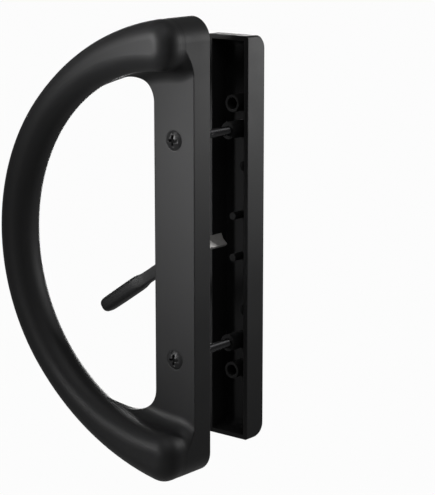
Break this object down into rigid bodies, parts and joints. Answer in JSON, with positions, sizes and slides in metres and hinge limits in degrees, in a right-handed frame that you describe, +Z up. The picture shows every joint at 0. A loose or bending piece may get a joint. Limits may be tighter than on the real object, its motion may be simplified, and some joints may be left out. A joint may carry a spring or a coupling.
{
  "type": "sliding patio door handle",
  "caption": "D-shaped interior pull with a thumb lever and a lock tailpiece, clamped through a sliding patio door to a slim hollow exterior pull by long screws.",
  "frame": {"origin": "on the door's inner face, on the lever's pivot axis, midway between the mounting screws", "axes": "+X across the plate, away from the grip, +Y through the door from the interior to the exterior, +Z up"},
  "size_m": [0.1075, 0.0684, 0.2084],
  "materials": {
    "black_casting": "satin black paint on a die casting",
    "black_lever": "satin black paint on a die-cast lever",
    "blade_steel": "bare rolled steel blade with a sheared end",
    "black_screw": "black oxide steel with a machined thread",
    "plated_steel": "zinc plated pressed steel",
    "spring_steel": "blued spring steel"
  },
  "bodies": {
    "handle": {"interior_handle": "black_casting", "exterior_pull": "black_casting", "mounting_screws": "black_screw", "hub_retainer": "plated_steel", "retainer_screws": "plated_steel", "spring_washer": "spring_steel"},
    "latch": {"thumb_lever": "black_lever", "tailpiece": "blade_steel"}
  },
  "joints": [
    {"name": "lever_turn", "type": "hinge", "parent": "handle", "child": "latch", "pos_m": [0, 0, 0], "axis": [0, 1, 0], "range_deg": [0, 73]}
  ]
}
